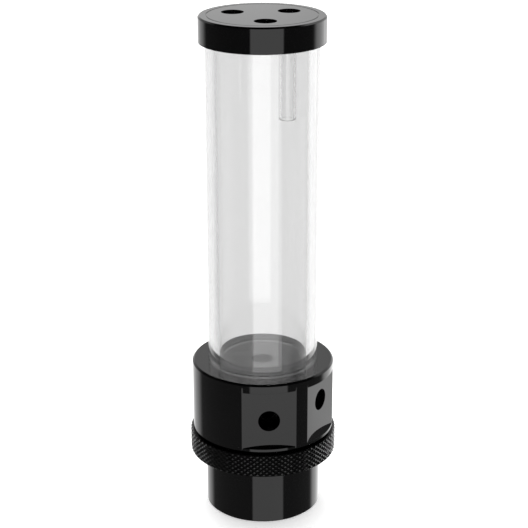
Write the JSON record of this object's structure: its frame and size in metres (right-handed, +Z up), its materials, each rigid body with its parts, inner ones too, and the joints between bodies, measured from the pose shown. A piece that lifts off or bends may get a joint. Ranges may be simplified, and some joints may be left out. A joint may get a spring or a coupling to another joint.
{
  "type": "coolant pump reservoir",
  "caption": "Clear round reservoir tube between a ported black lid and a ported black pump block, clamped by a knurled ring to a round pump module.",
  "frame": {"origin": "centre of the foot, on the surface it stands on", "axes": "+Z up along the tube, -Y towards the front port, +X to the right seen from the front"},
  "size_m": [0.0808, 0.0808, 0.2768],
  "materials": {
    "black_gloss": "polished black plastic",
    "knurled_black": "polished black plastic with a diamond knurl",
    "motor_black": "moulded black plastic",
    "clear_acrylic": "polished clear plastic",
    "black_rubber": "moulded black rubber",
    "core_iron": "ground iron sheets",
    "copper_wire": "varnished copper wire",
    "magnet": "sintered magnet, dark grey",
    "steel": "bright steel",
    "ceramic": "polished white ceramic",
    "wheel_plastic": "moulded dark grey plastic",
    "board_green": "green circuit board with solder mask",
    "component_black": "moulded black components",
    "capacitor_sleeve": "drawn aluminium cans",
    "dial_red": "moulded red plastic"
  },
  "bodies": {
    "pump": {"pump_cover": "black_gloss", "cable_grommet": "black_rubber", "motor_case": "motor_black", "stator_core": "core_iron", "stator_windings": "copper_wire", "bearing_post": "steel", "bearing_ball": "ceramic", "control_board": "board_green", "board_spacers": "steel", "board_screws": "steel", "board_capacitors": "capacitor_sleeve", "driver_chips": "component_black", "dial_base": "component_black", "pump_seal": "black_rubber"},
    "rotor": {"impeller": "wheel_plastic", "rotor_magnet": "magnet", "rotor_shell": "steel", "bearing_socket": "ceramic"},
    "dial": {"speed_dial": "dial_red"},
    "ring": {"clamp_ring": "knurled_black"},
    "reservoir": {"pump_top": "black_gloss", "reservoir_tube": "clear_acrylic", "tube_seal": "black_rubber"},
    "lid_lift": {"lid_seal": "black_rubber"},
    "lid": {"lid": "black_gloss", "fill_tube": "clear_acrylic"}
  },
  "joints": [
    {"name": "rotor_spin", "type": "hinge", "parent": "pump", "child": "rotor", "pos_m": [0, 0, 0.047], "axis": [0, 0, 1], "continuous": true},
    {"name": "dial_turn", "type": "hinge", "parent": "pump", "child": "dial", "pos_m": [0, 0.0175, 0.002], "axis": [0, 0, -1], "range_deg": [0, 270]},
    {"name": "ring_turn", "type": "hinge", "parent": "pump", "child": "ring", "pos_m": [0, 0, 0.038], "axis": [0, 0, -1], "range_deg": [0, 1260]},
    {"name": "reservoir_rise", "type": "slide", "parent": "pump", "child": "reservoir", "axis": [0, 0, 1], "range_m": [0, 0.00525]},
    {"name": "lid_rise", "type": "slide", "parent": "reservoir", "child": "lid_lift", "axis": [0, 0, 1], "range_m": [0, 0.006]},
    {"name": "lid_turn", "type": "hinge", "parent": "lid_lift", "child": "lid", "pos_m": [0, 0, 0.27], "axis": [0, 0, 1], "range_deg": [0, 1440]}
  ],
  "couplings": [
    {"joint": "ring_turn", "follows": "reservoir_rise", "rad_per_m": 4188.8},
    {"joint": "lid_turn", "follows": "lid_rise", "rad_per_m": 4188.8}
  ]
}
